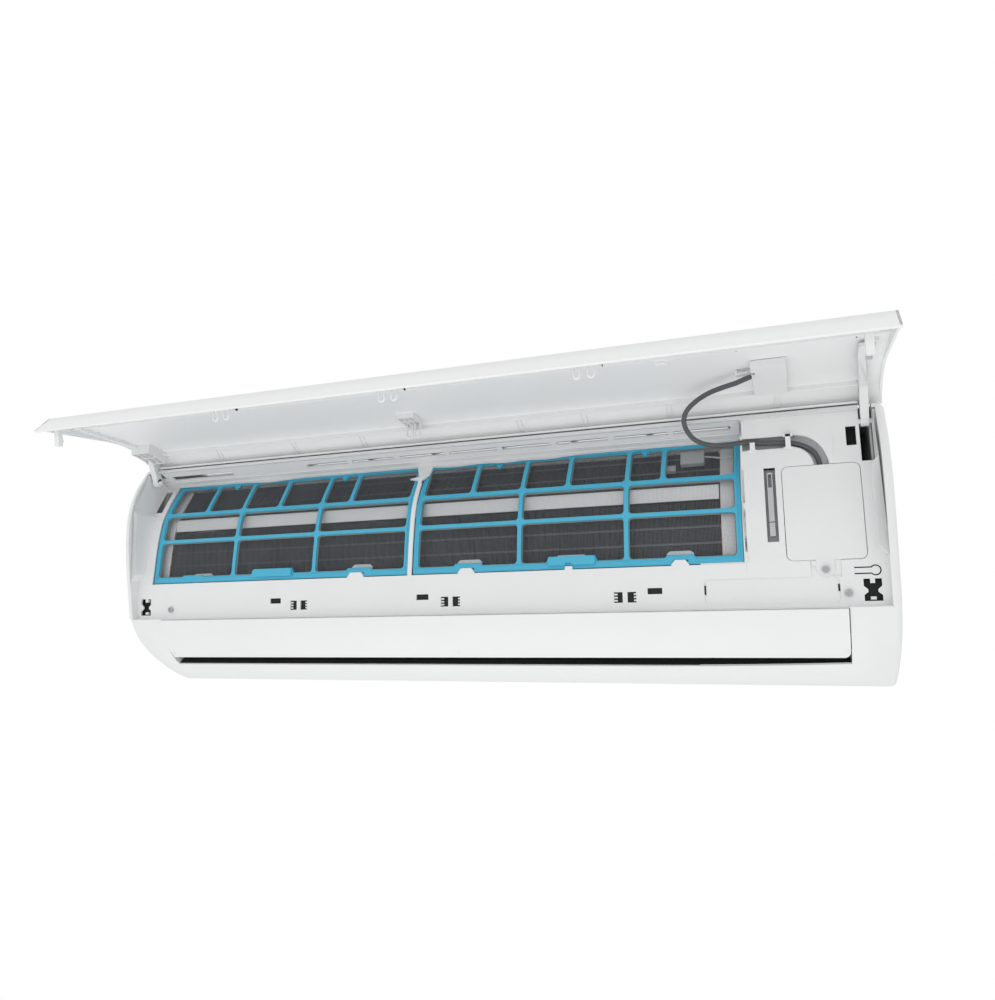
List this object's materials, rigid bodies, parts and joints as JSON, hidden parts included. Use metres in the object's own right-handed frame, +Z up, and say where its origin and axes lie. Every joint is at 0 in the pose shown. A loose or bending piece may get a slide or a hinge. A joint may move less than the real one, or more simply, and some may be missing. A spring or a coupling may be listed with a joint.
{
  "type": "split air conditioner indoor unit",
  "caption": "Wall-hung split air conditioner indoor unit with its hinged front panel swung up, slide-in air filters, coil, cross-flow fan, outlet vanes and louver.",
  "frame": {"origin": "centre of the wall plate's back face, where it lies on the wall", "axes": "+Y into the wall, +Z up, +X to the right of a person facing the unit"},
  "size_m": [1.08, 0.3765, 0.3916],
  "materials": {
    "white_abs": "smooth white moulded ABS",
    "shell_abs": "white moulded polystyrene",
    "cyan_frame": "cyan moulded polypropylene",
    "net": "fine woven net",
    "fins": "coated fin stack",
    "steel": "zinc-plated steel",
    "copper": "drawn copper tube",
    "brass": "turned brass",
    "black_abs": "black glass-filled plastic",
    "rubber": "moulded rubber",
    "lead": "grey vinyl sleeve",
    "board": "green circuit board laminate",
    "milky": "milky nylon",
    "grey": "grey plastic"
  },
  "bodies": {
    "chassis": {"wall_plate": "steel", "rear_casing": "shell_abs", "front_housing": "white_abs", "drain_pan": "shell_abs", "drain_plug": "rubber", "coil_front_lower": "fins", "coil_front_upper": "fins", "coil_rear": "fins", "coil_bends_left": "copper", "coil_bends_right": "copper", "coil_bar": "white_abs", "coil_sensor_clip": "milky", "gas_pipe": "copper", "liquid_pipe": "copper", "gas_nut": "brass", "liquid_nut": "brass", "fan_motor": "steel", "motor_clamp": "shell_abs", "fan_bearing": "rubber", "bearing_holder": "shell_abs", "electrical_box": "shell_abs", "electrical_cover": "white_abs", "circuit_board": "board", "terminal_block": "black_abs", "room_sensor": "grey", "frame_screw_left": "steel", "frame_screw_right": "steel", "cover_screw": "steel", "screw_cap_left": "white_abs", "screw_cap_right": "white_abs", "louver_motor": "white_abs", "display_cable": "lead"},
    "fan": {"blower_wheel": "black_abs"},
    "louver": {"louver": "white_abs"},
    "link_left": {"vane_link_left": "white_abs"},
    "link_right": {"vane_link_right": "white_abs"},
    "filter_left": {"filter_left": "cyan_frame", "filter_net_left": "net"},
    "filter_right": {"filter_right": "cyan_frame", "filter_net_right": "net"},
    "panel": {"front_panel": "white_abs", "panel_arm_left": "white_abs", "panel_arm_right": "white_abs", "panel_centre_hook": "white_abs", "display_housing": "white_abs", "display_board": "board"},
    "button": {"manual_button": "white_abs"},
    "vane_left_1": {"vane_left_1": "white_abs"},
    "vane_left_2": {"vane_left_2": "white_abs"},
    "vane_left_3": {"vane_left_3": "white_abs"},
    "vane_left_4": {"vane_left_4": "white_abs"},
    "vane_left_5": {"vane_left_5": "white_abs"},
    "vane_right_1": {"vane_right_1": "white_abs"},
    "vane_right_2": {"vane_right_2": "white_abs"},
    "vane_right_3": {"vane_right_3": "white_abs"},
    "vane_right_4": {"vane_right_4": "white_abs"},
    "vane_right_5": {"vane_right_5": "white_abs"}
  },
  "joints": [
    {"name": "panel_hinge", "type": "hinge", "parent": "chassis", "child": "panel", "pos_m": [0, -0.165, 0.146], "axis": [1, 0, 0], "range_deg": [-3, 92.5], "deforming": ["display_cable"]},
    {"name": "louver_tilt", "type": "hinge", "parent": "chassis", "child": "louver", "pos_m": [0, -0.1715, -0.118], "axis": [1, 0, 0], "range_deg": [0, 80]},
    {"name": "fan_spin", "type": "hinge", "parent": "chassis", "child": "fan", "pos_m": [0, -0.084, -0.056], "axis": [1, 0, 0], "continuous": true},
    {"name": "vane_left_1_turn", "type": "hinge", "parent": "chassis", "child": "vane_left_1", "pos_m": [-0.446, -0.148, -0.09], "axis": [0, 0, 1], "range_deg": [-35, 35]},
    {"name": "vane_left_2_turn", "type": "hinge", "parent": "chassis", "child": "vane_left_2", "pos_m": [-0.362, -0.148, -0.09], "axis": [0, 0, 1], "range_deg": [-35, 35]},
    {"name": "vane_left_3_turn", "type": "hinge", "parent": "chassis", "child": "vane_left_3", "pos_m": [-0.278, -0.148, -0.09], "axis": [0, 0, 1], "range_deg": [-35, 35]},
    {"name": "vane_left_4_turn", "type": "hinge", "parent": "chassis", "child": "vane_left_4", "pos_m": [-0.194, -0.148, -0.09], "axis": [0, 0, 1], "range_deg": [-35, 35]},
    {"name": "vane_left_5_turn", "type": "hinge", "parent": "chassis", "child": "vane_left_5", "pos_m": [-0.11, -0.148, -0.09], "axis": [0, 0, 1], "range_deg": [-35, 35]},
    {"name": "link_left_slide", "type": "slide", "parent": "chassis", "child": "link_left", "axis": [1, 0, 0], "range_m": [-0.0058, 0.0058]},
    {"name": "vane_right_1_turn", "type": "hinge", "parent": "chassis", "child": "vane_right_1", "pos_m": [-0.026, -0.148, -0.09], "axis": [0, 0, 1], "range_deg": [-35, 35]},
    {"name": "vane_right_2_turn", "type": "hinge", "parent": "chassis", "child": "vane_right_2", "pos_m": [0.058, -0.148, -0.09], "axis": [0, 0, 1], "range_deg": [-35, 35]},
    {"name": "vane_right_3_turn", "type": "hinge", "parent": "chassis", "child": "vane_right_3", "pos_m": [0.142, -0.148, -0.09], "axis": [0, 0, 1], "range_deg": [-35, 35]},
    {"name": "vane_right_4_turn", "type": "hinge", "parent": "chassis", "child": "vane_right_4", "pos_m": [0.226, -0.148, -0.09], "axis": [0, 0, 1], "range_deg": [-35, 35]},
    {"name": "vane_right_5_turn", "type": "hinge", "parent": "chassis", "child": "vane_right_5", "pos_m": [0.31, -0.148, -0.09], "axis": [0, 0, 1], "range_deg": [-35, 35]},
    {"name": "link_right_slide", "type": "slide", "parent": "chassis", "child": "link_right", "axis": [1, 0, 0], "range_m": [-0.0058, 0.0058]},
    {"name": "filter_left_slide", "type": "slide", "parent": "chassis", "child": "filter_left", "axis": [0, 0.8, 0.6], "range_m": [-0.18, 0]},
    {"name": "filter_right_slide", "type": "slide", "parent": "chassis", "child": "filter_right", "axis": [0, 0.8, 0.6], "range_m": [-0.18, 0]},
    {"name": "manual_button_press", "type": "hinge", "parent": "chassis", "child": "button", "pos_m": [0.48, -0.1912, -0.0315], "axis": [0, 0, 1], "range_deg": [0, 4], "stiffness_Nm_per_rad": 0.5}
  ],
  "couplings": [
    {"joint": "vane_left_2_turn", "follows": "vane_left_1_turn", "ratio": 1},
    {"joint": "vane_left_3_turn", "follows": "vane_left_1_turn", "ratio": 1},
    {"joint": "vane_left_4_turn", "follows": "vane_left_1_turn", "ratio": 1},
    {"joint": "vane_left_5_turn", "follows": "vane_left_1_turn", "ratio": 1},
    {"joint": "link_left_slide", "follows": "vane_left_1_turn", "m_per_rad": -0.00939},
    {"joint": "vane_right_2_turn", "follows": "vane_right_1_turn", "ratio": 1},
    {"joint": "vane_right_3_turn", "follows": "vane_right_1_turn", "ratio": 1},
    {"joint": "vane_right_4_turn", "follows": "vane_right_1_turn", "ratio": 1},
    {"joint": "vane_right_5_turn", "follows": "vane_right_1_turn", "ratio": 1},
    {"joint": "link_right_slide", "follows": "vane_right_1_turn", "m_per_rad": -0.00939}
  ]
}
